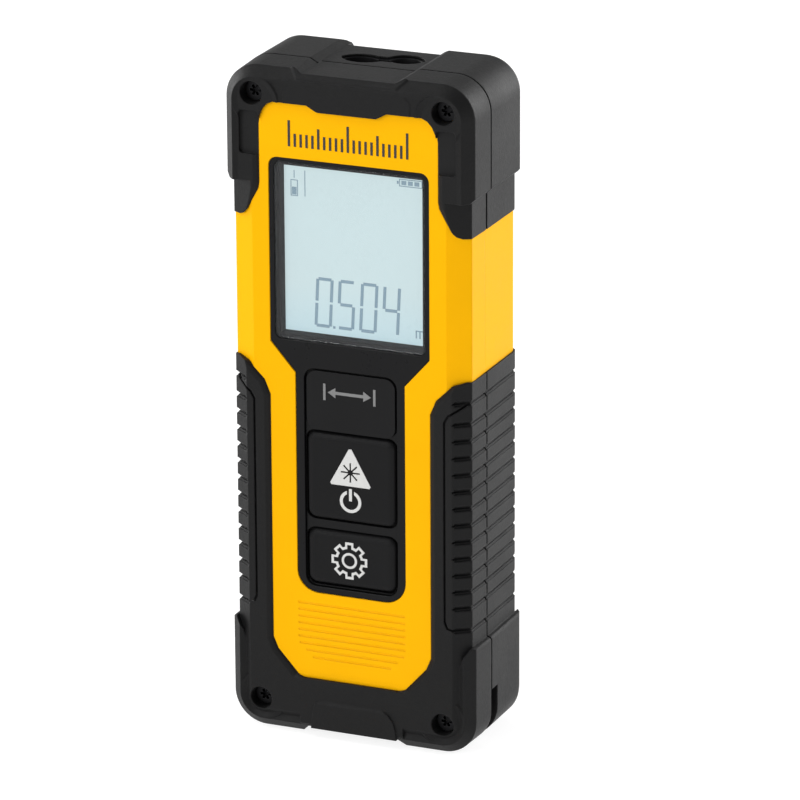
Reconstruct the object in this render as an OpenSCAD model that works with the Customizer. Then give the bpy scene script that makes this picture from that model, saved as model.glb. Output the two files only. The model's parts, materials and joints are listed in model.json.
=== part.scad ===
// Pocket laser distance meter. Millimetres, +Z up. It stands on its foot, the screen faces -Y,
// and the origin is at the centre of the foot's footprint. Y = 0 is halfway through its depth.

/* [Body] */
// Overall height, foot to top corners
body_h = 116.3; // [116.3:0.1:118]
// Half width over the rubber bumpers
bumper_hw = 22.3; // [22.3:0.1:23]
// Half width of the bare yellow shell
shell_hw = 21.1; // [21:0.05:21.2]
// Half width over the ribbed grips
grip_hw = 21.45; // [21.35:0.05:21.6]
// Half depth over the ridges, the foot tab and the back strips
half_d = 12.7; // [12.7:0.05:12.9]
// How far those stand proud of the rubber's faces
ridge_h = 0.3; // [0.2:0.05:0.35]
// Distance from the very front back to the parting line
part_from_front = 8.2; // [8:0.1:8.4]

/* [Grips] */
// Spacing of the side ribs
rib_pitch = 2.93; // [2.8:0.01:2.95]
// Number of evenly spaced rib grooves
rib_count = 12; // [11:1:12]
// Depth of a rib groove
rib_depth = 0.55; // [0.3:0.05:0.7]

/* [Keys] */
// Half width of both keys
key_hw = 8.0; // [7.98:0.01:8.02]
// How far a key goes down
key_travel = 0.6; // [0.4:0.1:0.7]

/* [Power] */
// Cell diameter (AAA)
cell_d = 10.5; // [10:0.1:10.5]
// Cell length over the contact (AAA)
cell_len = 44.5; // [44:0.1:44.5]

/* [Hidden] */
$fn = 40;
eps = 0.01;
part_y = -half_d + part_from_front;
face = -half_d + ridge_h;
back_face = half_d - ridge_h;
shell_front = -half_d + 0.9;
shell_back = half_d - 0.6;
core_hw = 20;
core_front = -11.1;
core_back = 11.5;
core_z = [2.2, body_h - 2.0];
cavity_hw = 18.6;
cavity_front = -9.8;
cavity_back = 10.2;
cavity_z = [3.6, body_h - 3.4];
corner_r = 6;
side_back = 7.8;
seam = 0.2;

cap_step_z = 97.4;
leg_z = 90.3;
leg_hw = 21.35;
grip_top_z = 65.7;
foot_top_z = 19.4;
channel_depth = 0.8;
notch_depth = 1.5;

screw_at = [[-17, body_h - 4.8], [17, body_h - 4.8], [-16.6, 5.5], [16.6, 5.5]];
well_r = 2.0;
sleeve_r = 2.4;
boss_r = 2.9;
board_screw_at = [[-16.4, 16], [16.4, 16], [-16.4, 80], [16.4, 80]];

panel_front = -11.7;
panel_back = -10.85;
screen_hw = 14.25;
screen_z = [68.9, 100.9];
keys_hw = 9.8;
keys_z0 = 25.7;
window_hw = 13.45;
window_z = [69.7, 100.2];
lcd_hw = 12.45;
lcd_z = [70.7, 99.2];
lcd_y = [-9.6, -8.2];
light_y = [-8.1, -6.6];

pocket_hw = 8.35;
pocket_z = [26.8, 65.2];
plate_front = -11.2;
plate_back = -10.3;
key_front = -11.85;
flange_y = [-10.2, -9.7];
measure_z = [38.95, 54.1];
settings_z = [27.4, 36.95];
key_gap = 0.3;
ink = 0.06;

board_y = [-5.6, -4.6];
board_z = [10, 84];
dome_h = 0.85;

cell_x = 5.55;
cell_y = 4.7;
bay_hw = 11.2;
bay_z = [12.8, 62.6];
bay_y = [-0.8, 10.3];
bay_wall = 1.4;
plate_t = 0.5;
spring_h = 3.6;

door_hw = 13.2;
door_z = [12.0, 66.0];
door_y = [10.5, 12.05];
hinge_y = 11.1;
hinge_z = 12.0;
hinge_r = 0.95;
hinge_pin_r = 0.6;
run_gap = 0.05;
latch_hw = 4.3;
latch_z = [60.6, 65.9];
latch_travel = 1.2;

rx = -2.7;
rx_r = 3.7;
tx = 4.25;
tx_r = 3.2;
optic_y = 0.8;
beam_y = 2.6;
optics_z = [87, 111.0];
insert_z = [111.2, body_h - 1.2];

// ---- helpers: a flat shape pushed along one axis ----
module along_x(x0, x1) translate([x0, 0, 0]) rotate([90, 0, 90]) linear_extrude(x1 - x0) children();
module along_y(y0, y1) translate([0, y1, 0]) rotate([90, 0, 0]) linear_extrude(y1 - y0) children();
module along_z(z0, z1) translate([0, 0, z0]) linear_extrude(z1 - z0) children();

// Rod of radius r along Y at (x, z), and along X at (y, z)
module rod_y(x, z, r, y0, y1) along_y(y0, y1) translate([x, z]) circle(r);
module rod_x(y, z, r, x0, x1) along_x(x0, x1) translate([y, z]) circle(r);

// Rectangle with round corners, centred on x, from z0 to z1
module round_rect(hw, z0, z1, r) {
  translate([-hw, z0 + r]) square([2 * hw, z1 - z0 - 2 * r]);
  translate([-hw + r, z0]) square([2 * hw - 2 * r, z1 - z0]);
  for (x = [-hw + r, hw - r], z = [z0 + r, z1 - r]) translate([x, z]) circle(r);
}

// Left and right halves of an outline from its right half, listed top to bottom
function both_sides(half) = concat(half, [for (i = [len(half) - 1:-1:0]) [-half[i][0], half[i][1]]]);

// Faceted back edge of an outer form that ends at y1: [inset, y] pairs
function back_edge(y1) =
  [[0, side_back], [0.35, side_back + 1], [3.1, y1 - 0.6], [4.4, y1]];

// Upright pillow: half width hw, z0 to z1, corner radius r, edge profile of [inset, y] pairs
module form(hw, z0, z1, r, prof) {
  n = len(prof);
  rev = [for (i = [n - 1:-1:0]) prof[i]];
  along_z(z0 + r, z1 - r)
    polygon(concat([for (p = prof) [p[0] - hw, p[1]]], [for (p = rev) [hw - p[0], p[1]]]));
  along_x(r - hw, hw - r)
    polygon(concat([for (p = prof) [p[1], z0 + p[0]]], [for (p = rev) [p[1], z1 - p[0]]]));
  for (x = [r - hw, hw - r], z = [z0 + r, z1 - r]) translate([x, 0, z]) rotate([-90, 0, 0])
    rotate_extrude()
      polygon(concat([[0, prof[0][1]]], [for (p = prof) [r - p[0], p[1]]], [[0, prof[n - 1][1]]]));
}

// Half spaces either side of the parting plane
module front_half() along_y(-20, part_y) translate([-30, -5]) square([60, body_h + 10]);
module rear_half() along_y(part_y, 20) translate([-30, -5]) square([60, body_h + 10]);
module band(z0, z1) translate([-30, -20, z0]) cube([60, 40, z1 - z0]);

// ---- outer forms ----
// Cap and foot both have a ridge along their outer edge, a step inside the bevel
module form_cap() form(bumper_hw, 0, body_h, corner_r, concat([[2.85, face], [1.95, -half_d],
  [0.25, -half_d + 1.8], [0, part_y]], back_edge(back_face)));
module form_foot() form(bumper_hw, 0, body_h, corner_r, concat([[3.9, face], [2.8, face + 0.75],
  [1.8, face + 0.25], [0.22, face + 1.65], [0, part_y]], back_edge(back_face)));
module form_leg() form(leg_hw, 0, body_h, corner_r, concat([[4.1, face], [0.15, face + 2.1],
  [0, part_y]], back_edge(back_face)));
module form_grip(inset = 0) along_z(12 - inset, grip_top_z + eps + inset) {
  half = concat([[grip_hw - 3.0 - inset, inset + face], [grip_hw - 0.2 - inset, inset + face + 2],
    [grip_hw - inset, part_y]], [for (p = back_edge(back_face - inset)) [grip_hw - inset - p[0], p[1]]]);
  polygon(both_sides(half));
}
module form_yellow() form(shell_hw, 0, body_h, corner_r, concat([[3.8, shell_front],
  [0, shell_front + 1.8], [0, part_y]], back_edge(shell_back)));
module form_core() form(core_hw, core_z[0], core_z[1], 4.6,
  [[2.6, core_front], [0, -8.9], [0, side_back], [1.9, 10.4], [3, core_back]]);
module form_cavity() form(cavity_hw, cavity_z[0], cavity_z[1], 3.4,
  [[2.2, cavity_front], [0, -8], [0, 8.3], [1, 9.6], [2.4, cavity_back]]);

// Where the yellow shell shows: the waist on both sides joins a front (or back) field
function leg_end(x_top) = [[x_top, leg_z + 6], [x_top + 0.2, leg_z + 4.9], [x_top + 1.5, leg_z + 2.6],
  [x_top + 2.3, leg_z + 1.2], [x_top + 3.1, leg_z + 0.35], [x_top + 4, leg_z]];
function waist(x_top) = concat(leg_end(x_top), [[30, leg_z], [30, grip_top_z], [20.4, grip_top_z],
  [18.3, grip_top_z - 0.6]]);
module front_field() polygon(both_sides(concat(
  [[5.2, 109.35], [7.1, 110.4], [13.2, 110.4], [14.3, 109.9], [15.1, 109.0], [15.65, 107.8],
    [15.9, 106.4]], waist(15.9),
  [[15.4, 62.3], [14.35, 59.8], [14.35, 16.8], [13.5, 14.8], [9.7, 10.6], [8.7, 10.25]])));
module rear_field() polygon(both_sides(concat(
  [[12.4, 103], [15.9, 100.2]], waist(15.9),
  [[16.2, 63.5], [15.4, 61.4], [15.4, 9.6], [14.4, 8.6]])));

// Shallow channel across the top, dished round the big port and falling away at the back,
// and the notch across the foot
module end_channels() {
  floor_z = body_h - channel_depth;
  along_y(-20, 20) polygon([[-9.8, body_h + eps], [-8.3, floor_z], [8.3, floor_z], [9.8, body_h + eps]]);
  translate([rx, optic_y, floor_z]) cylinder(r1 = rx_r + 1.1, r2 = rx_r + 2.4, h = channel_depth + 0.2);
  along_x(-8.3, 8.3) polygon([[7.6, floor_z], [7.6, body_h + 1], [14, body_h + 1], [14, floor_z - 2.4]]);
  along_y(-20, 20) polygon([[-9.6, -eps], [-8.2, notch_depth], [8.2, notch_depth], [9.6, -eps]]);
}

// Bevel cut along an open path of [x, z] points, wide at the rubber's face and dying out at the
// yellow and at the path's end. The rubber is on the path's left, and s = -1 mirrors the cut
module flare(path, s) {
  n = len(path);
  full = 0.95;
  deep = shell_front + 0.05;
  dir = [for (i = [0:n - 2]) (path[i + 1] - path[i]) / norm(path[i + 1] - path[i])];
  out = [for (i = [0:n - 1]) let (a = dir[max(i - 1, 0)], b = dir[min(i, n - 2)], m = a + b)
    [-m[1], m[0]] * 2 / (m * m)];
  rings = [for (i = [0:n - 1]) let (w = i == n - 1 ? 0.1 : full, p = path[i], q = p + w * out[i],
    h = p + 0.35 * w * out[i], k = p - 0.5 * out[i])
    [[k[0] * s, -half_d - 1, k[1]], [q[0] * s, -half_d - 1, q[1]], [q[0] * s, face, q[1]],
      [h[0] * s, face + 0.3, h[1]], [p[0] * s, deep, p[1]], [k[0] * s, deep, k[1]]]];
  sides = [for (i = [0:n - 2], j = [0:5]) let (j2 = (j + 1) % 6)
    [i * 6 + j, i * 6 + j2, i * 6 + 6 + j2, i * 6 + 6 + j]];
  faces = concat([[5, 4, 3, 2, 1, 0]], sides, [[for (j = [0:5]) (n - 1) * 6 + j]]);
  polyhedron([for (r = rings) each r], s > 0 ? faces : [for (f = faces) [for (j = [len(f) - 1:-1:0]) f[j]]],
    convexity = 6);
}

// The four case screw wells, cut from the front
module screw_wells(r, y1) for (p = screw_at) rod_y(p[0], p[1], r, -20, y1);

// Strap groove round the lower right corner, just behind the parting plane
module strap_groove() along_y(part_y + 0.2, part_y + 2.6) difference() {
  intersection() {
    translate(screw_at[3]) circle(12);
    translate([screw_at[3][0] - 4.6, -2]) square([14, 11.9]);
  }
  translate(screw_at[3]) circle(boss_r + 0.3);
  translate([screw_at[3][0] - 9, screw_at[3][1] - 3]) square([6.5, 15]);
  translate([screw_at[3][0] - 9, screw_at[3][1]]) square([9 + boss_r + 0.3, 15]);
}

// Double opening over the two optical ports: two lens-shaped lobes that meet
module ports(grow = 0) {
  lobe([rx, optic_y], rx_r + grow, 2.4 + grow);
  lobe([tx, beam_y], tx_r + grow, 2.5 + grow);
  translate([rx + 2.2, optic_y - 0.5 - grow]) square([tx - rx - 3.8, 2.5 + 2 * grow]);
}
// Overlap of two equal circles: half width w, half height h
module lobe(at, w, h) {
  d = (w * w / h - h) / 2;
  translate(at) intersection() {
    translate([0, d]) circle(d + h);
    translate([0, -d]) circle(d + h);
  }
}

// Outline of the black screen and key panel, d smaller all round
module panel_outline(d = 0) {
  round_rect(screen_hw - d, screen_z[0] + d, screen_z[1] - d, 1.6);
  round_rect(keys_hw - d, keys_z0 + d, screen_z[0] + 4, 3.8 - d / 2);
  polygon([[-screen_hw + d, screen_z[0] + 2], [-screen_hw + d, screen_z[0] + 0.2 + d / 3],
    [-keys_hw + d, 64.1 + d / 3], [keys_hw - d, 64.1 + d / 3],
    [screen_hw - d, screen_z[0] + 0.2 + d / 3], [screen_hw - d, screen_z[0] + 2]]);
}

// ---- case ----
module front_shell() color([0.98, 0.72, 0.05]) difference() {
  union() {
    difference() {
      union() {
        intersection() { form_core(); front_half(); }
        intersection() { form_yellow(); along_y(-20, part_y) front_field(); }
      }
      form_cavity();
    }
    intersection() {
      form_core();
      union() {
        for (p = screw_at) rod_y(p[0], p[1], boss_r, -10.6, part_y);
        for (p = board_screw_at) rod_y(p[0], p[1], 2.0, -10.2, board_y[0]);
      }
    }
  }
  along_y(-20, panel_back) panel_outline(-0.05);
  along_y(-20, -8) round_rect(window_hw + 0.1, window_z[0] - 0.1, window_z[1] + 0.1, 1.2);
  along_y(-20, -8) round_rect(keys_hw - 0.7, keys_z0 + 0.7, pocket_z[1] + 0.6, 2.8);
  screw_wells(sleeve_r, -9.4);
  screw_wells(well_r, -9.0);
  screw_wells(1.2, 0);
  for (p = board_screw_at) rod_y(p[0], p[1], 0.75, -9.4, 0);
  along_y(part_y - 0.35, 0) seal_ring(0.05);
  strap_bore();
  for (i = [0:8]) apron_line(23.6 - 1.2 * i);
}

// One engraved line of the finger rest below the keys
module apron_line(z) {
  hw = min(9.7, 9.7 - (16.6 - z));
  translate([-hw, shell_front - 1, z - 0.16]) cube([2 * hw, 1.09, 0.32]);
}

module seal_ring(grow = 0) difference() {
  round_rect(core_hw - 0.4 + grow, core_z[0] + 0.4 - grow, core_z[1] - 0.4 + grow, 4.2);
  round_rect(core_hw - 1.0 - grow, core_z[0] + 1.0 + grow, core_z[1] - 1.0 - grow, 3.6);
}

module shell_seal() color([0.3, 0.3, 0.32]) along_y(part_y - 0.3, part_y + 0.3) seal_ring();

module bay_box(grow, y0, y1)
  translate([-bay_hw - grow, y0, bay_z[0] - grow]) cube([2 * (bay_hw + grow), y1 - y0,
    bay_z[1] - bay_z[0] + 2 * grow]);

module rear_shell() color([0.98, 0.72, 0.05]) difference() {
  union() {
    difference() {
      union() {
        intersection() { form_core(); rear_half(); }
        intersection() { form_yellow(); along_y(part_y, 20) rear_field(); }
      }
      form_cavity();
    }
    intersection() {
      form_core();
      union() {
        for (p = screw_at) rod_y(p[0], p[1], boss_r, part_y, 10.6);
        bay_box(bay_wall, bay_y[0] - bay_wall, 10.4);
        bay_box(3.2, 8.9, 10.4);
      }
    }
  }
  bay_box(0, bay_y[0], 20);
  door_recess();
  for (x = [-9, 9]) translate([x - 1, 2, bay_z[1] - 1]) cube([2, 1.2, 4]);
  for (p = screw_at) rod_y(p[0], p[1], 0.95, part_y - 1, 3);
  along_y(part_y - 1, part_y + 0.35) seal_ring(0.05);
  strap_groove();
  strap_bore();
  along_z(cavity_z[1] - 1, body_h) ports(0.6);
}

// Space for the door, its hinge barrel and the catch
module door_recess() {
  translate([-door_hw - 0.3, door_y[0] - 0.1, hinge_z])
    cube([2 * (door_hw + 0.3), 10, door_z[1] + 0.3 - hinge_z]);
  rod_x(hinge_y, hinge_z, hinge_r + 0.3, -door_hw - 0.3, door_hw + 0.3);
  translate([-door_hw - 0.3, hinge_y, hinge_z - hinge_r - 0.3])
    cube([2 * (door_hw + 0.3), 5, hinge_r + 0.4]);
  rod_x(hinge_y, hinge_z, hinge_pin_r + run_gap, -door_hw - 1.4, door_hw + 1.4);
  translate([-latch_hw - 0.3, 8.6, latch_z[0] - latch_travel - 0.4])
    cube([2 * latch_hw + 0.6, 10, door_z[1] + 0.7 - latch_z[0] + latch_travel]);
}

module shell_screws() color([0.25, 0.25, 0.27]) for (p = screw_at) difference() {
  union() {
    rod_y(p[0], p[1], 1.75, -10.5, -9.0);
    rod_y(p[0], p[1], 0.9, -9.1, 2.6);
  }
  for (a = [0, 60, 120]) along_y(-10.6, -9.7) translate(p) rotate(a) square([1.9, 0.42], center = true);
}

// ---- rubber ----
rubber = [0.09, 0.09, 0.1];

// In front of the rubber's parting line, which steps back in the cap and forward in the channel
module rubber_front() difference() {
  union() {
    front_half();
    along_y(part_y - 1, part_y + 1) square_band(-8.3, 8.3, cap_step_z, body_h + 5);
  }
  for (s = [-1, 1]) along_y(part_y - 0.4, part_y + 2)
    square_band(s * 17.3 - 9, s * 17.3 + 9, cap_step_z, body_h + 5);
}
module square_band(x0, x1, z0, z1) translate([x0, z0]) square([x1 - x0, z1 - z0]);

module cap_body() {
  intersection() { form_cap(); band(cap_step_z, body_h + 5); }
  intersection() { form_cap(); along_y(-20, 20) polygon(both_sides([[bumper_hw, cap_step_z + 0.3],
    [bumper_hw, cap_step_z + 0.1], [leg_hw, cap_step_z - 0.9]])); }
  intersection() { form_leg(); band(leg_z, cap_step_z + 0.3); }
}

// Raised middle of the cap's front edge: a small bevel on top, slanted at both ends
module brow() {
  top = body_h - channel_depth;
  hull() {
    along_y(face - 0.1, face) polygon(both_sides([[8.7, top - 0.7], [11.2, top - 3], [11.2, top - 6]]));
    along_y(face + 1.4, face + 1.5)
      polygon(both_sides([[10.2, top + 0.8], [13.2, top - 2], [13.2, top - 6]]));
  }
}

module front_upper_bumper() color(rubber) difference() {
  union() {
    intersection() { cap_body(); rubber_front(); }
    brow();
  }
  along_y(-20, 0) front_field();
  for (s = [-1, 1]) flare(concat([[15.9, 105]], leg_end(15.9)), s);
  difference() { form_core(); sleeves(); }
  end_channels();
  screw_wells(well_r, 0);
  for (s = [-1, 1]) along_y(-20, face + 0.6)
    translate([s * 17.5, 0]) round_rect(1.75, 101.1, 108.5, 0.6);
  along_y(part_y - seam, part_y + 5) square_band(-30, 30, 0, cap_step_z);
}

// Rubber lining of the screw wells
module sleeves() screw_wells(sleeve_r - 0.05, -9.4);

// Low strips that the meter lies on, as proud of the back as the foot tab is of the front
module rear_upper_bumper() color(rubber) difference() {
  union() {
    difference() { cap_body(); rubber_gap() rubber_front(); }
    translate([-12, back_face - 1, 104]) cube([24, 1 + ridge_h, 2.4]);
  }
  along_y(-20, 20) rear_field();
  form_core();
  end_channels();
  along_z(body_h - 5, insert_z[1] + 0.1) ports(0.6);
  along_z(body_h - 5, body_h + 5) ports(0.2);
}

// The same shape carried back by the width of the visible seam
module rubber_gap() {
  children();
  translate([0, 2 * seam, 0]) children();
}

// Grip groove heights: the evenly pitched ones, then the two longer end lobes
function rib_zs() = concat([62.2], [for (i = [0:rib_count - 1]) 58.6 - rib_pitch * i], [22.5]);

// Everything outside the grip's surface by rib_depth
module grip_cutter() difference() {
  union() {
    for (z = rib_zs(), s = [-1, 1]) {
      translate([s > 0 ? 18.4 : -30, -20, z - 0.2]) cube([11.6, 40, 0.4]);
    }
    along_y(-20, part_y) pad_groove();
  }
  form_grip(rib_depth);
}
module grip_softener() difference() {
  for (z = rib_zs(), s = [-1, 1])
    translate([s > 0 ? 18.7 : -30, -20, z - 0.5]) cube([11.3, 40, 1]);
  form_grip(rib_depth * 0.45);
}

// Line round the grip pad on the front
module pad_groove() for (s = [-1, 1]) difference() {
  polygon([[s * 30, 62.4], [s * 20.9, 62.4], [s * 17.6, 60.2], [s * 16.9, 58.9], [s * 16.9, 23.9],
    [s * 17.4, 22.7], [s * 18.6, 22.3], [s * 30, 22.3]]);
  polygon([[s * 30, 62.0], [s * 21, 62.0], [s * 17.9, 59.9], [s * 17.3, 58.8], [s * 17.3, 24.1],
    [s * 17.7, 23.0], [s * 18.8, 22.7], [s * 30, 22.7]]);
}

module foot_region() polygon(both_sides([[17.6, 15.2], [19.4, 15.4], [20, 17.4], [21.4, foot_top_z],
  [22.0, foot_top_z - 0.2], [bumper_hw, foot_top_z - 0.55], [30, foot_top_z - 0.55], [30, -1]]));

module grip_body() {
  difference() {
    form_grip();
    grip_cutter();
    grip_softener();
  }
  intersection() { form_foot(); along_y(-20, 20) foot_region(); }
}

// Plain middle of the foot's front, and the tab that stands proud of it
module foot_middle() along_x(-9.4, 9.4)
  polygon([[face, 8], [face, notch_depth + 0.6], [face + 0.6, notch_depth], [-8, notch_depth], [-8, 8]]);
module foot_tab() intersection() {
  form(10, -4, 6.5, 2.4, [[0.5, -half_d], [0, face], [0, face + 1]]);
  along_y(-20, 0) polygon([[-5.9, 6.5], [5.6, 6.5], [6.8, 5.8], [7.7, 4.6], [8.1, 3.2], [8.3, notch_depth],
    [-7.3, notch_depth], [-7.0, 4.6], [-6.6, 5.9]]);
}

module front_lower_grip() color(rubber) difference() {
  union() {
    intersection() { grip_body(); front_half(); }
    foot_middle();
    foot_tab();
  }
  along_y(-20, 0) front_field();
  for (s = [-1, 1]) flare([[19.6, grip_top_z + 0.5], [18.3, grip_top_z - 0.6], [15.4, 62.3], [14.35, 59.8],
    [14.35, 16.8], [13.5, 14.8], [10, 10.9], [8.2, 10.2]], s);
  difference() { form_core(); sleeves(); }
  end_channels();
  screw_wells(well_r, 0);
  strap_bore();
  along_y(part_y - seam, part_y + 1) square_band(-30, 30, -1, body_h);
}

module rear_lower_grip() color(rubber) difference() {
  union() {
    intersection() { grip_body(); rear_half(); }
    for (s = [-1, 1]) translate([s * 16.5 - 0.75, back_face - 1, 12]) cube([1.5, 1 + ridge_h, 46]);
  }
  along_y(-20, 20) rear_field();
  form_core();
  end_channels();
  strap_groove();
  strap_bore();
  along_y(part_y - 1, part_y + seam) square_band(-30, 30, -1, body_h);
}

function strap_bar_at() = [screw_at[3][0] + 3.1, screw_at[3][1] - 3.1];
module strap_bore() rod_y(strap_bar_at()[0], strap_bar_at()[1], 0.82, part_y - 1.7, part_y + 4.1);
module strap_bar() color([0.7, 0.7, 0.72])
  rod_y(strap_bar_at()[0], strap_bar_at()[1], 0.8, part_y - 1.6, part_y + 4);

// ---- screen ----
module front_panel() color([0.06, 0.06, 0.07]) difference() {
  along_y(panel_front, panel_back) panel_outline();
  along_y(-20, 0) round_rect(window_hw, window_z[0], window_z[1], 1.2);
  along_y(-20, 0) round_rect(pocket_hw, pocket_z[0], pocket_z[1], 2);
}

module screen_window() color([0.8, 0.9, 0.95, 0.35]) along_y(panel_front + 0.05, panel_back - 0.1)
  round_rect(window_hw - 0.1, window_z[0] + 0.1, window_z[1] - 0.1, 1.1);

module window_gasket() color([0.15, 0.15, 0.16]) along_y(panel_back - 0.1, panel_back) difference() {
  round_rect(window_hw - 0.1, window_z[0] + 0.1, window_z[1] - 0.1, 1.1);
  round_rect(window_hw - 0.45, window_z[0] + 0.45, window_z[1] - 0.45, 0.9);
}

// Screen holder: a sloped mask in front of the glass, and a tray round the glass and light guide
module lcd_frame() color([0.12, 0.12, 0.13]) difference() {
  union() {
    along_y(panel_back, cavity_front + 0.1)
      round_rect(window_hw + 0.05, window_z[0] - 0.05, window_z[1] + 0.05, 1.2);
    along_y(cavity_front + 0.05, light_y[1] + 0.8) round_rect(14.1, 66.6, 101.7, 1);
  }
  intersection() {
    along_z(60, 110) polygon([[-window_hw + 0.7, -11], [-lcd_hw, lcd_y[0]], [lcd_hw, lcd_y[0]],
      [window_hw - 0.7, -11]]);
    along_x(-20, 20) polygon([[-11, window_z[0] + 0.7], [lcd_y[0], lcd_z[0]], [lcd_y[0], lcd_z[1]],
      [-11, window_z[1] - 0.7]]);
  }
  translate([-13.5, lcd_y[0], 69.9]) cube([27, 10, 30.2]);
  translate([-12.5, lcd_y[1], 67.6]) cube([25, 10, 3]);
}

module lcd_glass() color([0.78, 0.87, 0.88]) translate([-13.4, lcd_y[0] + ink, 70.0])
  cube([26.8, lcd_y[1] - lcd_y[0] - ink, 30.0]);

module lcd_backlight() color([0.9, 0.95, 0.95]) translate([-13.3, light_y[0], 71])
  cube([26.6, light_y[1] - light_y[0], 29]);

module zebra_connector() color([0.85, 0.45, 0.5]) translate([-12, lcd_y[1] + 0.05, 67.9])
  cube([24, board_y[0] - lcd_y[1] - 0.1, 2.2]);

// Seven-segment strokes: which of a, b, c, d, e, f, g are lit
digit_w = 3.1;
digit_h = 8.6;
stroke = 0.52;
lit = [[1, 1, 1, 1, 1, 1, 0], [1, 0, 1, 1, 0, 1, 1], [1, 1, 1, 1, 1, 1, 0], [0, 1, 1, 0, 0, 1, 1]];
digit_x = [-7.25, -3.24, 0.78, 4.8];
lean = 0.05;
module seven(on) multmatrix([[1, lean, 0, 0], [0, 1, 0, 0], [0, 0, 1, 0]]) {
  g = 0.2;
  half = digit_h / 2;
  if (on[0]) translate([g + 0.2, digit_h - stroke]) square([digit_w - 2 * g - 0.4, stroke]);
  if (on[6]) translate([g + 0.3, half - stroke / 2]) square([digit_w - 2 * g - 0.6, stroke]);
  if (on[3]) translate([g + 0.2, 0]) square([digit_w - 2 * g - 0.4, stroke]);
  if (on[1]) translate([digit_w - stroke, half + g]) square([stroke, half - 2 * g - 0.1]);
  if (on[2]) translate([digit_w - stroke, g + 0.1]) square([stroke, half - 2 * g - 0.1]);
  if (on[5]) translate([0, half + g]) square([stroke, half - 2 * g - 0.1]);
  if (on[4]) translate([0, g + 0.1]) square([stroke, half - 2 * g - 0.1]);
}
module frame_box(w, h, t) difference() { square([w, h]); translate([t, t]) square([w - 2 * t, h - 2 * t]); }
module lcd_segments() color([0.35, 0.42, 0.5]) along_y(lcd_y[0], lcd_y[0] + ink) {
  for (i = [0:3]) translate([digit_x[i], 71.8]) seven(lit[i]);
  translate([-3.9, 71.8]) square([0.42, 0.42]);
  translate([10.9, 71.9]) { // unit mark: an m
    for (x = [0, 0.65, 1.3]) translate([x, 0]) square([0.22, 1.2]);
    translate([0, 1.15]) square([1.52, 0.2]);
  }
  translate([8.1, 97.6]) { frame_box(4.1, 1.3, 0.14); translate([-0.4, 0.4]) square([0.3, 0.5]); }
  for (x = [8.5, 9.65, 10.8]) translate([x, 97.9]) square([0.85, 0.7]);
  translate([-11.3, 93.9]) { frame_box(1.3, 2.8, 0.14); translate([0.25, 0.25]) square([0.8, 1.3]); }
  translate([-10.72, 97.0]) square([0.14, 1.3]);
  translate([-8.8, 94.0]) square([0.14, 4.4]);
}

// ---- keys ----
module key_hole(z) round_rect(key_hw + key_gap, z[0] - key_gap, z[1] + key_gap, 1.7);
module keypad_plate() color([0.07, 0.07, 0.08]) difference() {
  union() {
    along_y(plate_front, plate_back) round_rect(pocket_hw - 0.1, pocket_z[0] + 0.1, pocket_z[1] - 0.1, 1.9);
    along_y(plate_front - 0.35, plate_front + 0.1) round_rect(7.95, 54.5, pocket_z[1] - 0.4, 1.8);
    along_y(panel_back + 0.05, plate_back) round_rect(keys_hw - 0.9, keys_z0 + 0.9, pocket_z[1] + 0.5, 2.7);
  }
  along_y(-20, plate_front + 0.4) difference() {
    round_rect(pocket_hw, 54.7, pocket_z[1], 2);
    round_rect(7.95, 54.5, pocket_z[1] - 0.4, 1.8);
  }
  along_y(-20, 0) key_hole(measure_z);
  along_y(-20, 0) key_hole(settings_z);
}

module range_symbol() color([0.45, 0.45, 0.46]) along_y(plate_front - 0.35 - ink, plate_front - 0.35)
  translate([-0.2, 61.3]) {
    for (a = [0, 180]) rotate(a) {
      polygon([[2.5, -0.9], [3.9, 0], [2.5, 0.9]]);
      translate([4.28, -1.45]) square([0.44, 2.9]);
    }
    translate([-2.8, -0.27]) square([5.6, 0.54]);
  }

// Key: the visible cap, a wider flange behind the plate that keeps it in, and a plunger
module key(z, r) {
  mid = (z[0] + z[1]) / 2;
  form_key(z, r);
  along_y(plate_back - 0.6, flange_y[1]) round_rect(key_hw - 0.5, z[0] + 0.5, z[1] - 0.5, r);
  along_y(flange_y[0], flange_y[1]) round_rect(key_hw + 0.5, z[0] - 0.55, z[1] + 0.55, r);
  rod_y(0, mid, 1.6, flange_y[1] - 0.1, board_y[0] - dome_h - 0.05);
}
module form_key(z, r) translate([0, 0, z[0]])
  form(key_hw, 0, z[1] - z[0], r, [[1.2, key_front], [0.25, key_front + 0.4], [0, key_front + 0.9],
    [0, plate_back - 0.4]]);
// Turned cap: an arc of sphere radius big, from the axis out to radius r, falling away from height h
function arc_pts(big, r, h, n = 8) = concat([[0, arc_h(big, r / n, h)]],
  [for (i = [1:n]) let (x = r * i / n) [x, arc_h(big, x, h)]]);
function arc_h(big, x, h) = h - big + sqrt(big * big - x * x);
module dome(z) translate([0, board_y[0], (z[0] + z[1]) / 2]) rotate([90, 0, 0]) rotate_extrude() {
  outer = arc_pts(10, 3.7, dome_h);
  inner = [for (i = [len(outer) - 2:-1:0]) [outer[i][0], outer[i][1] - 0.2]];
  polygon(concat(outer, [[3.7, 0], [3.4, 0]], inner));
}

module measure_key() color([0.08, 0.08, 0.09]) key(measure_z, 1.6);
module settings_key() color([0.08, 0.08, 0.09]) key(settings_z, 1.6);
module measure_dome() color([0.8, 0.8, 0.8]) dome(measure_z);
module settings_dome() color([0.8, 0.8, 0.8]) dome(settings_z);

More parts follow.
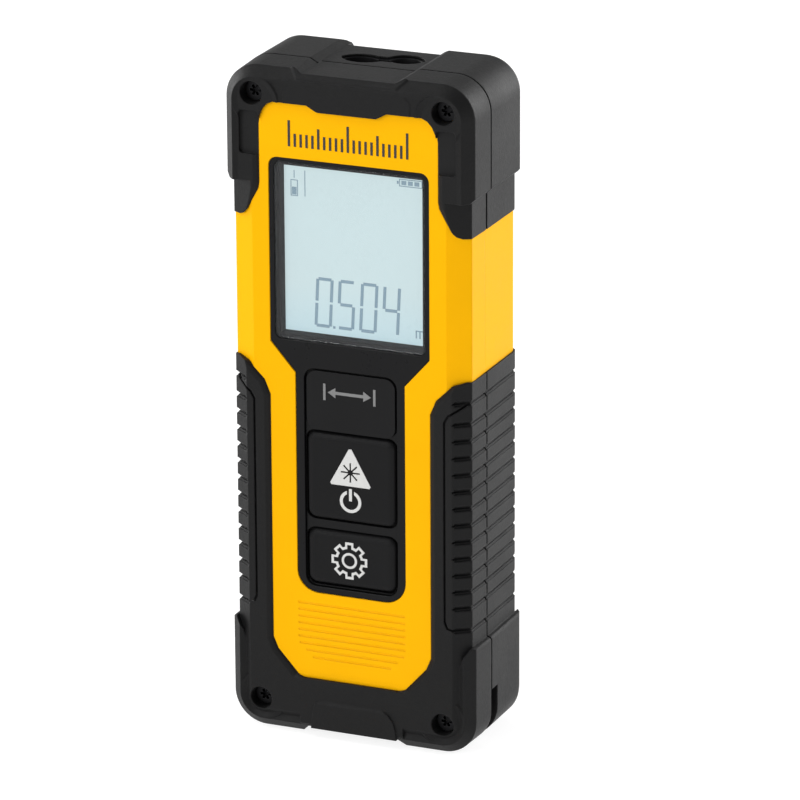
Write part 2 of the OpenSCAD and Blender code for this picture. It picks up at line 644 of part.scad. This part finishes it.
// Beam triangle with a star cut out of it, over a power ring
module measure_symbol() color([0.9, 0.9, 0.9]) along_y(key_front - ink, key_front) {
  difference() {
    polygon(both_sides([[0.25, 51.9], [3.65, 45.75], [3.45, 45.4]]));
    translate([0, 47.8]) for (a = [0:45:135]) rotate(a) square([3.4, 0.26], center = true);
    translate([0, 47.8]) circle(0.5);
  }
  translate([0, 42.7]) difference() {
    circle(1.95);
    circle(1.4);
    translate([-0.65, 0]) square([1.3, 3]);
  }
  translate([-0.27, 42.8]) square([0.54, 2.15]);
}

module settings_symbol() color([0.9, 0.9, 0.9]) along_y(key_front - ink, key_front) translate([-0.3, 32.2]) {
  difference() {
    gear(2.55, 3.25, 1.5);
    gear(2.1, 2.8, 0.75);
  }
  difference() { circle(1.4); circle(0.98); }
}
module gear(r, tip, w) {
  circle(r);
  for (a = [0:45:359]) rotate(a) translate([0, -w / 2]) square([tip, w]);
}

module scale_print() color([0.13, 0.12, 0.1]) along_y(shell_front - ink, shell_front)
  for (i = [-10:10]) {
    h = i % 10 == 0 ? 4.4 : i % 5 == 0 ? 3.4 : 2.2;
    translate([1.05 * i - 0.21, 103]) square([0.42, h]);
  }

// ---- electronics ----
module main_board() color([0.05, 0.35, 0.2]) difference() {
  along_y(board_y[0], board_y[1]) round_rect(18.2, board_z[0], board_z[1], 1);
  for (p = board_screw_at) rod_y(p[0], p[1], 1.0, -8, 0);
}
module board_chips() color([0.12, 0.12, 0.13]) {
  for (c = [[-6, 72, 7, 7, 1.0], [5, 76, 5, 4, 0.9], [4, 67, 4, 3, 0.9], [-13, 60, 3, 8, 1.2],
    [13.6, 48, 3, 6, 1.4], [0, 52, 6, 6, 0.9], [-13.6, 34, 3, 3, 1.0]])
    translate([c[0] - c[2] / 2, board_y[1], c[1] - c[3] / 2]) cube([c[2], c[4], c[3]]);
}
module buzzer() color([0.1, 0.1, 0.1]) difference() {
  rod_y(12, 64.6 + 10, 4, board_y[1], board_y[1] + 3);
  rod_y(12, 64.6 + 10, 0.8, board_y[1] + 1.5, board_y[1] + 5);
}
module board_screws() color([0.7, 0.7, 0.7]) for (p = board_screw_at) difference() {
  union() {
    rod_y(p[0], p[1], 1.6, board_y[1], board_y[1] + 1);
    rod_y(p[0], p[1], 0.7, -9.2, board_y[1] + 0.1);
  }
  for (a = [0, 90]) along_y(board_y[1] + 0.6, 0) translate(p) rotate(a) square([1.8, 0.4], center = true);
}

// ---- optics ----
module optics_block() color([0.16, 0.16, 0.17]) difference() {
  union() {
    translate([-8.6, -3.6, optics_z[0]]) cube([17.8, 10, optics_z[1] - optics_z[0]]);
    for (s = [-1, 1]) translate([s * 11 - 3, -2.8, 88]) cube([6, 2, 7]);
  }
  translate([rx, optic_y, 90]) cylinder(r1 = 2.5, r2 = 3.3, h = 17.6);
  translate([rx, optic_y, 107.5]) cylinder(r = rx_r - 0.1, h = 5);
  translate([tx, beam_y, 80]) cylinder(r = 2.95, h = 40);
  for (s = [-1, 1]) rod_y(s * 12, 91.5, 1.1, -5, 5);
  translate([rx - 2.1, optic_y - 2.1, 80]) cube([4.2, 4.2, 12]);
  translate([rx - 2.1, -4, 80]) cube([4.2, 5, 8.4]);
}
module optics_screws() color([0.7, 0.7, 0.7]) for (s = [-1, 1]) {
  rod_y(s * 12, 91.5, 1.8, -0.8, 0.2);
  rod_y(s * 12, 91.5, 1.0, -4.4, -0.7);
}
module lens(r, h, big) rotate_extrude() polygon(concat([[0, 0]], arc_pts(big, r, h), [[r, 0]]));
module receiver_lens() color([0.75, 0.85, 0.95, 0.4]) translate([rx, optic_y, 107.6])
  lens(rx_r - 0.15, 3.2, 11);
module laser_lens() color([0.75, 0.85, 0.95, 0.4]) translate([tx, beam_y, 107.4]) lens(2.1, 2.2, 5);
module laser_barrel() color([0.75, 0.6, 0.25]) translate([tx, beam_y, 88.6]) difference() {
  cylinder(r = 2.9, h = 22);
  translate([0, 0, -1]) cylinder(r = 1.5, h = 30);
  translate([0, 0, -1]) cylinder(r = 2.4, h = 4.4);
  translate([0, 0, 18.7]) cylinder(r = 2.15, h = 10);
}
module laser_diode() color([0.85, 0.75, 0.45]) translate([tx, beam_y, 86.2]) {
  translate([0, 0, 2.4]) cylinder(r = 2.35, h = 1);
  translate([0, 0, 3.3]) cylinder(r = 1.45, h = 2.2);
  for (a = [90, 210, 330]) rotate(a) translate([1.1, 0, -1]) cylinder(r = 0.22, h = 3.5);
}
module receiver_sensor() color([0.2, 0.2, 0.22]) translate([rx - 2, optic_y - 2, 88.2]) {
  cube([4, 4, 1.4]);
  translate([1, 1, 1.3]) cube([2, 2, 0.5]);
}
// Flat flex from the sensor down to the board
module sensor_flex() color([0.75, 0.45, 0.1]) along_x(rx - 1.8, rx + 1.8)
  polygon([[optic_y - 2, 88.2], [optic_y + 2, 88.2], [optic_y + 2, 88.0], [optic_y - 1.8, 88.0],
    [-3.3, 83.4], [-3.3, 80.2], [board_y[1] + 0.9, 80.2], [board_y[1] + 0.9, 80.4], [-3.5, 80.4],
    [-3.5, 83.5]]);

module aperture_insert() color([0.05, 0.05, 0.06]) difference() {
  along_z(insert_z[0], insert_z[1]) ports(0.5);
  along_z(100, 130) ports(-0.35);
  along_z(insert_z[0] + 1.6, insert_z[0] + 2.4) ports(0.05);
}
module aperture_window() color([0.5, 0.2, 0.25, 0.4]) along_z(insert_z[0] + 1.6, insert_z[0] + 2.4) ports(0);

// ---- power ----
module cell(x, up) translate([x, cell_y, 0]) {
  z0 = up ? bay_z[0] + plate_t + spring_h + 0.1 : bay_z[0] + plate_t + 0.1;
  translate([0, 0, up ? z0 : z0 + 0.8]) cylinder(d = cell_d - 0.05, h = cell_len - 0.8, $fn = 64);
  translate([0, 0, up ? z0 + cell_len - 0.9 : z0]) cylinder(d = 3.8, h = 0.9);
}
module battery_cell_left() color([0.55, 0.57, 0.6]) cell(-cell_x, true);
module battery_cell_right() color([0.55, 0.57, 0.6]) cell(cell_x, false);

// Conical spring as one swept band
module coil(r0, r1, h, wire, turns) {
  n = 20 * turns;
  m = 8;
  pts = [for (i = [0:n]) let (t = i / n, a = 360 * turns * t, r = r0 + (r1 - r0) * t)
    for (j = [0:m - 1]) let (b = 360 * j / m, rr = r + wire * cos(b))
      [rr * cos(a), rr * sin(a), wire + (h - 2 * wire) * t + wire * sin(b)]];
  sides = [for (i = [0:n - 1], j = [0:m - 1])
    [i * m + j, i * m + (j + 1) % m, (i + 1) * m + (j + 1) % m, (i + 1) * m + j]];
  ends = [[for (j = [m - 1:-1:0]) j], [for (j = [0:m - 1]) n * m + j]];
  polyhedron(pts, concat(sides, ends), convexity = 8);
}
module battery_springs() color([0.8, 0.8, 0.8]) {
  translate([-cell_x, cell_y, bay_z[0] + plate_t]) coil(3.6, 1.8, spring_h, 0.3, 4);
  translate([cell_x, cell_y, bay_z[1] - plate_t]) rotate([180, 0, 0]) coil(3.6, 1.8, spring_h, 0.3, 4);
}
module battery_contacts() color([0.8, 0.8, 0.8]) {
  translate([-10.4, cell_y - 4, bay_z[0] + 0.02]) cube([20.8, 8, plate_t - 0.04]);
  for (s = [-1, 1]) {
    translate([s * cell_x - 4.6, cell_y - 4, bay_z[1] - plate_t + 0.02]) cube([9.2, 8, plate_t - 0.04]);
    translate([s * 9 - 0.8, 2.2, bay_z[1] - 0.3]) cube([1.6, 0.6, 3.4]);
  }
}
module battery_leads() color([0.8, 0.1, 0.1]) for (s = [-1, 1])
  rod_y(s * 9, 65.1, 0.5, board_y[1], 2.2);

// ---- door ----
module battery_door() color([0.07, 0.07, 0.08]) difference() {
  union() {
    translate([-door_hw, door_y[0], hinge_z]) cube([2 * door_hw, door_y[1] - door_y[0], door_z[1] - hinge_z]);
    rod_x(hinge_y, hinge_z, hinge_r, -door_hw, door_hw);
    rod_x(hinge_y, hinge_z, hinge_pin_r, -door_hw - 1.2, door_hw + 1.2);
    for (z = [20, 52]) translate([-0.5, door_y[0] - 1.6, z]) cube([1, 2, 3]);
  }
  translate([-latch_hw - 0.25, 0, latch_z[0] - latch_travel - 0.25])
    cube([2 * latch_hw + 0.5, 20, 10]);
  for (i = [0:5]) translate([-5, door_y[1] - 0.3, 48.5 + 1.5 * i]) cube([10, 1, 0.7]);
}
module door_pad() color([0.2, 0.2, 0.22]) translate([-8, door_y[0] - 0.35, 30]) cube([16, 0.35, 14]);

// Thumb catch in the door's top edge
module door_latch() color([0.1, 0.1, 0.11]) {
  translate([-latch_hw, door_y[0] + 0.1, latch_z[0]])
    cube([2 * latch_hw, door_y[1] - door_y[0] - 0.1, latch_z[1] - latch_z[0]]);
  translate([-latch_hw + 0.4, 8.9, latch_z[1] - 1.4]) cube([2 * latch_hw - 0.8, 2, 1.3]);
  for (i = [0:2]) translate([-3.2, door_y[1] - 0.1, latch_z[0] + 1 + 1.3 * i]) cube([6.4, 0.45, 0.6]);
}

module rating_label() color([0.75, 0.76, 0.78])
  along_y(shell_back, shell_back + 0.1) round_rect(12.6, 72, 92, 1);

front_shell();
rear_shell();
shell_seal();
shell_screws();
front_upper_bumper();
rear_upper_bumper();
front_lower_grip();
rear_lower_grip();
front_panel();
scale_print();
screen_window();
window_gasket();
lcd_frame();
lcd_glass();
lcd_segments();
lcd_backlight();
zebra_connector();
keypad_plate();
range_symbol();
measure_key();
measure_symbol();
measure_dome();
settings_key();
settings_symbol();
settings_dome();
main_board();
board_chips();
buzzer();
board_screws();
optics_block();
optics_screws();
receiver_lens();
receiver_sensor();
laser_barrel();
laser_lens();
laser_diode();
sensor_flex();
aperture_insert();
aperture_window();
battery_cell_left();
battery_cell_right();
battery_springs();
battery_contacts();
battery_leads();
battery_door();
door_pad();
door_latch();
strap_bar();
rating_label();
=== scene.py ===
"""Looks for the laser distance meter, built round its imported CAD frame. Metres, +Z up."""
import json
import math

import bpy
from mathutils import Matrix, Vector

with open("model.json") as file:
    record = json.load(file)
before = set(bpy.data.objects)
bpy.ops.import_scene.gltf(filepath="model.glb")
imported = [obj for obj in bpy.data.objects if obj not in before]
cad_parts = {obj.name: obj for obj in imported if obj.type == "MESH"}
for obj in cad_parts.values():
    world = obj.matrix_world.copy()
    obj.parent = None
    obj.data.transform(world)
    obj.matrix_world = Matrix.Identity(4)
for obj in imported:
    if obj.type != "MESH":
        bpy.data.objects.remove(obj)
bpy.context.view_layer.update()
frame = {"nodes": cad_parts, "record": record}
MM = 0.001

# ---- camera: the photograph's viewing angle ----
AZIMUTH, ELEVATION, ROLL = 23.11, 18.57, -0.31
DISTANCE = 0.9757
LENS, SENSOR = 262.7, 36.0
AIM = Vector((0.0, -0.9, 54.5)) * MM
PAN = (3.99 * MM, 2.48 * MM)
CLIP = (0.05, 30)


def add_camera():
    az, el = math.radians(AZIMUTH), math.radians(ELEVATION)
    back = Vector((math.sin(az) * math.cos(el), -math.cos(az) * math.cos(el), math.sin(el)))
    turn = (-back).to_track_quat("-Z", "Y")
    right, up = turn.to_matrix().col[:2]
    data = bpy.data.cameras.new("camera")
    data.lens, data.sensor_width = LENS, SENSOR
    data.clip_start, data.clip_end = CLIP
    cam = bpy.data.objects.new("camera", data)
    bpy.context.scene.collection.objects.link(cam)
    cam.location = AIM + right * PAN[0] + up * PAN[1] + back * DISTANCE
    cam.rotation_euler = turn.to_euler()
    cam.rotation_euler.rotate_axis("Z", math.radians(ROLL))
    bpy.context.scene.camera = cam


add_camera()
bpy.context.scene.view_settings.view_transform = "Standard"


# ---- small node-tree language ----
class Tree:
    def __init__(self, tree):
        self.tree = tree

    def add(self, kind, inputs=None, **props):
        node = self.tree.nodes.new(kind)
        for key, value in props.items():
            setattr(node, key, value)
        for key, value in (inputs or {}).items():
            if isinstance(value, bpy.types.NodeSocket):
                self.tree.links.new(value, node.inputs[key])
            else:
                node.inputs[key].default_value = value
        return node

    def math(self, op, a, b=0.0, clamp=False):
        return self.add("ShaderNodeMath", {0: a, 1: b}, operation=op, use_clamp=clamp).outputs[0]

    def bump(self, height, depth, strength=1.0, normal=None):
        links = {"Height": height, "Distance": depth, "Strength": strength}
        if normal is not None:
            links["Normal"] = normal
        return self.add("ShaderNodeBump", links).outputs[0]

    def noise(self, scale, detail, rough, stretch=None):
        vector = self.coords()
        if stretch:
            vector = self.add("ShaderNodeMapping", {"Vector": vector, "Scale": stretch}).outputs[0]
        return self.add("ShaderNodeTexNoise", {"Vector": vector, "Scale": scale, "Detail": detail,
                                               "Roughness": rough}).outputs["Fac"]

    def coords(self):
        if not hasattr(self, "_coords"):
            self._coords = self.add("ShaderNodeTexCoord").outputs["Object"]
        return self._coords

    def remap(self, value, lo, hi, out_lo, out_hi):
        return self.add("ShaderNodeMapRange", {"Value": value, "From Min": lo, "From Max": hi,
                                               "To Min": out_lo, "To Max": out_hi}).outputs["Result"]

    def mix(self, fac, a, b):
        node = self.add("ShaderNodeMix", data_type="RGBA")
        for i, value in ((0, fac), (6, a), (7, b)):
            if isinstance(value, bpy.types.NodeSocket):
                self.tree.links.new(value, node.inputs[i])
            else:
                node.inputs[i].default_value = value
        return node.outputs[2]


def rgba(c):
    return (c[0], c[1], c[2], 1.0)


def shade(c, k):
    return tuple(min(1.0, v * k) for v in c)


def finish_material(name, colour, rough, grain=(), mottle=0.06, mottle_scale=90, rough_swing=0.07,
                    wear=None, metallic=0.0, specular=0.5, coat=0.0, scratches=0.0, sockets=None,
                    soft_edge=0.12, zones=()):
    """A moulded, printed or turned surface. grain is a list of (cells per metre, depth in metres),
    zones a list of (mask maker, colour) painted over the base colour."""
    m = bpy.data.materials.new(name)
    m.use_nodes = True
    t = Tree(m.node_tree)
    bsdf = m.node_tree.nodes["Principled BSDF"]

    def put(key, value):
        if isinstance(value, bpy.types.NodeSocket):
            t.tree.links.new(value, bsdf.inputs[key])
        else:
            bsdf.inputs[key].default_value = value

    broad = t.noise(mottle_scale, 4.0, 0.55)
    colour_out = t.mix(t.remap(broad, 0.3, 0.7, 0.0, 1.0), rgba(shade(colour, 1 - mottle)),
                       rgba(shade(colour, 1 + mottle)))
    fine = t.noise(1400, 2.0, 0.6)
    rough_out = t.remap(t.math("ADD", t.math("MULTIPLY", broad, 0.6), t.math("MULTIPLY", fine, 0.4)),
                        0.3, 0.7, rough - rough_swing, rough + rough_swing)
    if wear:
        edge_colour, width, amount = wear
        bevel = t.add("ShaderNodeBevel", {"Radius": width}, samples=4).outputs[0]
        true_n = t.add("ShaderNodeNewGeometry").outputs["Normal"]
        dot = t.add("ShaderNodeVectorMath", {0: bevel, 1: true_n}, operation="DOT_PRODUCT")
        edge = t.remap(t.math("SUBTRACT", 1.0, dot.outputs["Value"]), 0.02, 0.16, 0.0, 1.0)
        patchy = t.remap(t.noise(700, 4.0, 0.65), 0.42, 0.62, 0.0, amount)
        mask = t.math("MULTIPLY", edge, patchy, clamp=True)
        colour_out = t.mix(mask, colour_out, rgba(edge_colour))
    for maker, paint in zones:
        colour_out = t.mix(maker(t), colour_out, rgba(paint))
    put("Base Color", colour_out)
    put("Roughness", rough_out)
    put("Metallic", metallic)
    put("Specular IOR Level", specular)
    if coat:
        put("Coat Weight", coat)
        put("Coat Roughness", 0.08)
    for key, value in (sockets or {}).items():
        put(key, value)
    normal = t.add("ShaderNodeBevel", {"Radius": soft_edge * MM}, samples=4).outputs[0]
    for scale, depth in grain:
        normal = t.bump(t.noise(scale, 2.5, 0.6), depth, normal=normal)
    if scratches:
        lines = t.noise(900, 2.0, 0.7, stretch=(1.0, 1.0, 0.04))
        normal = t.bump(t.remap(lines, 0.62, 0.70, 0.0, 1.0), scratches, 0.6, normal)
    put("Normal", normal)
    return m


def axes(t):
    """Object X and Z of the shaded point, in mm."""
    xyz = t.add("ShaderNodeSeparateXYZ", {0: t.coords()}).outputs
    return t.math("DIVIDE", xyz["X"], MM), t.math("DIVIDE", xyz["Z"], MM)


# Bounds of the painted seam shade: the dark colour painted on the shell where only shadow in the seams
# is seen.
SEAM_SIDE = 19.1          # the shell's sides beyond this x are bare only at the waist, in mm
WAIST = (65.2, 90.7)
BARE_ENDS = (7.5, 111.5)  # heights beyond which no part of the shell is bare


def painted_seam_shade(t):
    """Where the shell is seen only through the seams of its rubber cover: painted shade, the rubber's
    dark colour standing in for the shadow inside the seams.
    """
    x, z = axes(t)

    def outside(lo, hi):
        return t.math("MAXIMUM", t.math("LESS_THAN", z, lo), t.math("GREATER_THAN", z, hi))

    side = t.math("GREATER_THAN", t.math("ABSOLUTE", x), SEAM_SIDE)
    return t.math("MAXIMUM", t.math("MULTIPLY", side, outside(*WAIST)), outside(*BARE_ENDS))


CELL_FLAT_END = (17.0, 57.9)    # heights of the left and right cells' flat ends, in mm


def cell_band(lo, hi):
    """A band between two distances from a cell's flat end: the left cell stands plus end up."""
    def maker(t):
        x, z = axes(t)
        flip = t.math("MULTIPLY", t.math("GREATER_THAN", x, 0.0), sum(CELL_FLAT_END))
        h = t.math("SUBTRACT", t.math("ABSOLUTE", t.math("SUBTRACT", flip, z)), CELL_FLAT_END[0])
        return t.math("MULTIPLY", t.math("GREATER_THAN", h, lo), t.math("LESS_THAN", h, hi))
    return maker


YELLOW = (0.93, 0.455, 0.0)
RUBBER = (0.004, 0.004, 0.0042)
um = 1e-6
M = {
    "yellow_shell": finish_material("yellow_shell", YELLOW, 0.42, [(2600, 12 * um), (9000, 5 * um)],
                                    mottle=0.02, wear=((0.96, 0.56, 0.03), 0.25 * MM, 0.35),
                                    specular=0.045, soft_edge=0.3,
                                    # painted shade: the shell is painted rubber-dark where it shows
                                    # only through the seams, for the shadow in the gaps
                                    zones=[(painted_seam_shade, RUBBER)]),
    "black_rubber": finish_material("black_rubber", RUBBER, 0.56, [(2700, 38 * um), (9000, 14 * um)],
                                    mottle=0.16, wear=((0.02, 0.02, 0.021), 0.3 * MM, 0.5),
                                    specular=0.21, soft_edge=0.35,
                                    sockets={"Sheen Weight": 0.04, "Sheen Roughness": 0.35}),
    "black_gloss": finish_material("black_gloss", (0.006, 0.006, 0.0065), 0.3, [(5000, 2 * um)],
                                   mottle=0.1, rough_swing=0.05, scratches=1 * um, specular=0.13),
    "black_plastic": finish_material("black_plastic", (0.007, 0.007, 0.0075), 0.45, [(4200, 12 * um)],
                                     mottle=0.12, wear=((0.02, 0.02, 0.021), 0.2 * MM, 0.4),
                                     specular=0.13),
    "dark_plastic": finish_material("dark_plastic", (0.005, 0.005, 0.006), 0.5, [(4200, 8 * um)],
                                    mottle=0.1, specular=0.08),
    "key_black": finish_material("key_black", (0.0065, 0.0065, 0.007), 0.5, [(5200, 12 * um)],
                                 mottle=0.12, wear=((0.02, 0.02, 0.021), 0.25 * MM, 0.4),
                                 specular=0.12, soft_edge=0.35),
    "dark_seal": finish_material("dark_seal", (0.02, 0.02, 0.021), 0.7, [(2600, 40 * um)]),
    "dark_ink": finish_material("dark_ink", (0.022, 0.018, 0.014), 0.5, [(6000, 4 * um)], mottle=0.15),
    "grey_ink": finish_material("grey_ink", (0.19, 0.19, 0.19), 0.5, [(6000, 4 * um)], mottle=0.1),
    "white_ink": finish_material("white_ink", (0.62, 0.62, 0.61), 0.45, [(6000, 4 * um)], mottle=0.03),
    "lcd_ink": finish_material("lcd_ink", (0.08, 0.12, 0.15), 0.5, [(6000, 1 * um)], mottle=0.06,
                               sockets={"Emission Color": (0.17, 0.25, 0.30, 1),
                                        "Emission Strength": 0.85}),
    "white_guide": finish_material("white_guide", (0.8, 0.84, 0.86), 0.35, [(3000, 6 * um)]),
    "pink_silicone": finish_material("pink_silicone", (0.62, 0.2, 0.24), 0.6, [(2600, 15 * um)]),
    "spring_steel": finish_material("spring_steel", (0.62, 0.61, 0.58), 0.28, [(2600, 3 * um)],
                                    metallic=1.0, scratches=4 * um),
    "bright_screw": finish_material("bright_screw", (0.55, 0.55, 0.54), 0.32, [(2600, 4 * um)],
                                    metallic=1.0, scratches=4 * um),
    "black_steel": finish_material("black_steel", (0.016, 0.016, 0.017), 0.42, [(3200, 8 * um)],
                                   metallic=1.0, mottle=0.25, wear=((0.2, 0.2, 0.2), 0.1 * MM, 0.35)),
    "green_board": finish_material("green_board", (0.01, 0.11, 0.045), 0.35, [(1800, 8 * um)],
                                   mottle=0.12, coat=0.4),
    "chip_black": finish_material("chip_black", (0.018, 0.018, 0.02), 0.5, [(5200, 10 * um)]),
    "cast_block": finish_material("cast_block", (0.028, 0.028, 0.03), 0.5, [(2800, 20 * um)]),
    "brass_tube": finish_material("brass_tube", (0.75, 0.52, 0.2), 0.3, [(3000, 4 * um)], metallic=1.0,
                                  scratches=4 * um),
    "gold_can": finish_material("gold_can", (0.85, 0.62, 0.25), 0.22, [(3000, 2 * um)], metallic=1.0),
    "amber_flex": finish_material("amber_flex", (0.5, 0.2, 0.02), 0.3, [(2200, 6 * um)], coat=0.3),
    "red_wire": finish_material("red_wire", (0.5, 0.015, 0.012), 0.4, [(2600, 8 * um)]),
    "blank_label": finish_material("blank_label", (0.36, 0.37, 0.38), 0.38, [(3800, 4 * um)],
                                   mottle=0.04, scratches=2 * um),
    "cell_jacket": finish_material("cell_jacket", (0.05, 0.09, 0.14), 0.3, [(2200, 3 * um)], coat=0.4,
                                   zones=[(cell_band(32, 35), (0.42, 0.43, 0.44)),
                                          (cell_band(43, 50), (0.5, 0.5, 0.48)),
                                          (cell_band(-1, 0.4), (0.5, 0.5, 0.48))]),
}


def clear_sheet(name, tint, reflect, smear_rough):
    """Thin clear part: what lies behind shows straight through, with a faint gloss on top."""
    m = bpy.data.materials.new(name)
    m.use_nodes = True
    t = Tree(m.node_tree)
    m.node_tree.nodes.remove(m.node_tree.nodes["Principled BSDF"])
    smear = t.remap(t.noise(160, 4.0, 0.6), 0.35, 0.75, 0.02, smear_rough)
    bump = t.add("ShaderNodeBump", {"Height": t.noise(900, 2.0, 0.5), "Distance": 0.3 * um}).outputs[0]
    through = t.add("ShaderNodeBsdfTransparent", {"Color": rgba(tint)}).outputs[0]
    gloss = t.add("ShaderNodeBsdfGlossy", {"Color": (1, 1, 1, 1), "Roughness": smear, "Normal": bump})
    fresnel = t.add("ShaderNodeFresnel", {"IOR": 1.45, "Normal": bump}).outputs[0]
    mix = t.add("ShaderNodeMixShader", {0: t.math("MULTIPLY", fresnel, reflect)})
    t.tree.links.new(through, mix.inputs[1])
    t.tree.links.new(gloss.outputs[0], mix.inputs[2])
    out = next(n for n in m.node_tree.nodes if n.type == "OUTPUT_MATERIAL")
    t.tree.links.new(mix.outputs[0], out.inputs["Surface"])
    return m


def lens_material(name, tint, rough, ior):
    m = bpy.data.materials.new(name)
    m.use_nodes = True
    t = Tree(m.node_tree)
    bsdf = m.node_tree.nodes["Principled BSDF"]
    bsdf.inputs["Base Color"].default_value = rgba(tint)
    bsdf.inputs["Transmission Weight"].default_value = 1.0
    bsdf.inputs["IOR"].default_value = ior
    smear = t.remap(t.noise(160, 4.0, 0.6), 0.35, 0.75, rough, rough + 0.05)
    t.tree.links.new(smear, bsdf.inputs["Roughness"])
    bump = t.add("ShaderNodeBump", {"Height": t.noise(900, 2.0, 0.5), "Distance": 0.4 * um})
    t.tree.links.new(bump.outputs[0], bsdf.inputs["Normal"])
    return m


M["clear_window"] = clear_sheet("clear_window", (0.97, 0.98, 0.99), 0.5, 0.07)
M["tinted_window"] = clear_sheet("tinted_window", (0.22, 0.16, 0.18), 1.0, 0.07)
M["lens_glass"] = lens_material("lens_glass", (0.82, 0.9, 0.95), 0.0, 1.5)


LCD_RAMP = (70 * MM, 79 * MM)    # heights between which the display brightens


def lcd_material():
    """Pale backlit face, dimmer towards the bottom, with a very fine tooth."""
    m = finish_material("lcd_face", (0.16, 0.2, 0.21), 0.3, [(7000, 1 * um)], mottle=0.03, specular=0.2)
    bsdf = m.node_tree.nodes["Principled BSDF"]
    t = Tree(m.node_tree)
    height = t.add("ShaderNodeSeparateXYZ", {0: t.coords()}).outputs["Z"]
    cloud = t.math("MULTIPLY", t.noise(60, 2.0, 0.4), 0.12)
    level = t.math("ADD", t.remap(height, *LCD_RAMP, 0.0, 0.92), cloud)
    glow = t.mix(level, (0.44, 0.585, 0.62, 1), (0.51, 0.61, 0.605, 1))
    t.tree.links.new(glow, bsdf.inputs["Emission Color"])
    bsdf.inputs["Emission Strength"].default_value = 0.95
    return m


M["lcd_face"] = lcd_material()

# ---- CAD nodes: soften their edges and give each its material ----
SLOT_OF = {s["node"]: s["material_slot"] for s in frame["record"]["subparts"]}
BEVEL = {"front_panel": 0.12, "keypad_plate": 0.15, "measure_key": 0.18, "settings_key": 0.18,
         "door_latch": 0.15, "shell_screws": 0.08}
# Printed films, domes and nodes whose ring-shaped flat faces a planar decimation would break
FLAT = ("lcd_segments", "scale_print", "range_symbol", "measure_symbol", "settings_symbol",
        "front_shell", "rear_shell", "lcd_frame", "battery_door", "window_gasket", "rear_lower_grip",
        "front_lower_grip", "front_upper_bumper", "rear_upper_bumper", "measure_dome", "settings_dome")


def soften(obj, width):
    """Weld, flatten and bevel a node's edges by width mm, leaving its CAD mesh as it is."""
    weld = obj.modifiers.new("weld", "WELD")
    weld.merge_threshold = 2e-6
    flat = obj.modifiers.new("flat", "DECIMATE")
    flat.decimate_type = "DISSOLVE"
    flat.angle_limit = math.radians(0.6)
    bevel = obj.modifiers.new("edge", "BEVEL")
    bevel.width = width * MM
    bevel.segments = 2
    bevel.limit_method = "ANGLE"
    bevel.angle_limit = math.radians(28)
    bevel.use_clamp_overlap = True
    bevel.miter_outer = "MITER_ARC"
    weighted = obj.modifiers.new("normals", "WEIGHTED_NORMAL")
    weighted.keep_sharp = False
    weighted.weight = 60


for name, obj in frame["nodes"].items():
    obj.data.materials.clear()
    obj.data.materials.append(M[SLOT_OF[name]])
    if name not in FLAT:
        soften(obj, BEVEL.get(name, 0.06))

# ---- floor and light ----
FLOOR_REACH, FLOOR_DROP = 6.0, 0.1 * MM
floor_mesh = bpy.data.meshes.new("floor")
floor_mesh.from_pydata([(x * FLOOR_REACH, y * FLOOR_REACH, 0)
                        for x, y in ((-1, -1), (1, -1), (1, 1), (-1, 1))], [], [(0, 1, 2, 3)])
floor = bpy.data.objects.new("floor", floor_mesh)
bpy.context.scene.collection.objects.link(floor)
floor.location.z = -FLOOR_DROP
floor_mat = finish_material("floor", (0.30, 0.30, 0.30), 0.8, [(300, 10 * um)], mottle=0.004,
                            mottle_scale=3, specular=0.1,
                            sockets={"Emission Color": (1, 1, 1, 1), "Emission Strength": 0.85})
floor_mesh.materials.append(floor_mat)

world = bpy.context.scene.world or bpy.data.worlds.new("world")
bpy.context.scene.world = world
world.use_nodes = True
sky = world.node_tree.nodes["Background"]
sky.inputs["Color"].default_value = (1.0, 1.0, 1.0, 1)
sky.inputs["Strength"].default_value = 0.33


MIDDLE = Vector((0, 0, 60)) * MM


def area(name, az, el, dist, size, power):
    """A soft panel light aimed at the middle of the meter, from azimuth az and elevation el."""
    data = bpy.data.lights.new(name, "AREA")
    data.shape = "RECTANGLE"
    data.size, data.size_y = size
    data.energy = power
    obj = bpy.data.objects.new(name, data)
    bpy.context.scene.collection.objects.link(obj)
    a, e = math.radians(az), math.radians(el)
    away = Vector((math.sin(a) * math.cos(e), -math.cos(a) * math.cos(e), math.sin(e)))
    obj.location = MIDDLE + away * dist
    obj.rotation_euler = (-away).to_track_quat("-Z", "Y").to_euler()


area("key", -24, 24, 1.4, (0.9, 0.9), 8.2)
area("brow", -49, 61, 1.2, (0.5, 0.5), 3.8)
area("left", -108, 7, 1.4, (0.8, 1.1), 20)
area("right", 140, 8, 1.4, (1.2, 1.2), 27)
area("back", 170, 45, 1.5, (1.4, 1.0), 2)
